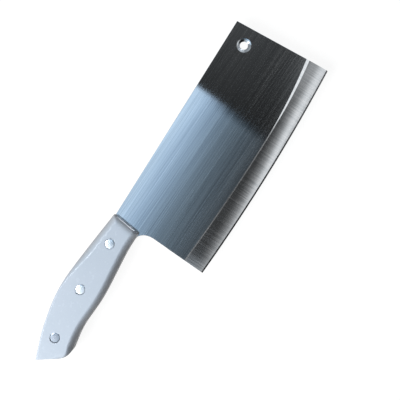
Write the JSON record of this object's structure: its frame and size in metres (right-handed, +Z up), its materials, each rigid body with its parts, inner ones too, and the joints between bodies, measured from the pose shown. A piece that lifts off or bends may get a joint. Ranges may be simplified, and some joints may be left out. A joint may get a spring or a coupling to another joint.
{
  "type": "kitchen knife",
  "caption": "Broad kitchen cleaver with a straight spine, a gently bellied edge, a long ground bevel, a hanging hole near the tip and a riveted white plastic handle.",
  "frame": {"origin": "middle of the bounding box, on the surface that the knife lies on", "axes": "+X from the handle to the tip, +Y from the edge to the spine, +Z up, square to the blade, toward the side that the picture shows"},
  "size_m": [0.2982, 0.0876, 0.0194],
  "materials": {
    "blade_steel": "stainless, brushed lengthwise, with a ground bevel",
    "handle_plastic": "moulded white plastic with a soft gloss",
    "rivet_metal": "bright polished heads"
  },
  "bodies": {
    "root": {"blade": "blade_steel", "upper_scale": "handle_plastic", "lower_scale": "handle_plastic", "neck_rivet_sleeve": "rivet_metal", "neck_rivet_pin": "rivet_metal", "middle_rivet_sleeve": "rivet_metal", "middle_rivet_pin": "rivet_metal", "butt_rivet_sleeve": "rivet_metal", "butt_rivet_pin": "rivet_metal"}
  },
  "joints": []
}
